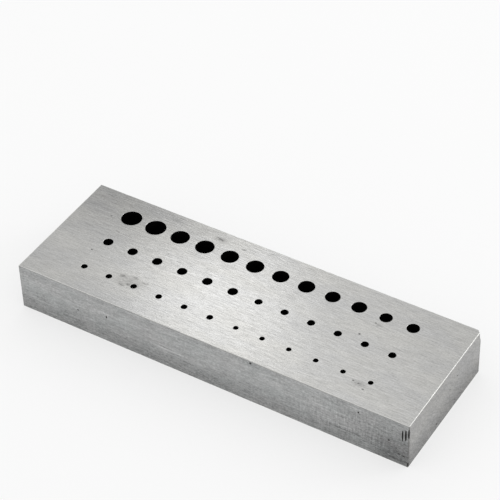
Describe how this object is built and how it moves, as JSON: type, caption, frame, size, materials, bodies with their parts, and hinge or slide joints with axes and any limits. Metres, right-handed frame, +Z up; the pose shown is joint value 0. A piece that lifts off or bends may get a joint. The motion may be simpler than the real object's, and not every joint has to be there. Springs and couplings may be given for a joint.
{
  "type": "riveting anvil",
  "caption": "Flat ground steel block with rows of graded through holes that support small rivets, staffs and arbors.",
  "frame": {"origin": "middle of the underside, on the surface that the block stands on", "axes": "+X along the rows from the largest holes to the smallest, +Y from the front face (smallest holes) to the back face (largest holes), +Z up out of the working face"},
  "size_m": [0.1046, 0.0346, 0.013],
  "materials": {
    "ground_steel": "surface ground, satin, with fine lengthwise grinding lines"
  },
  "bodies": {
    "root": {"anvil_block": "ground_steel"}
  },
  "joints": []
}
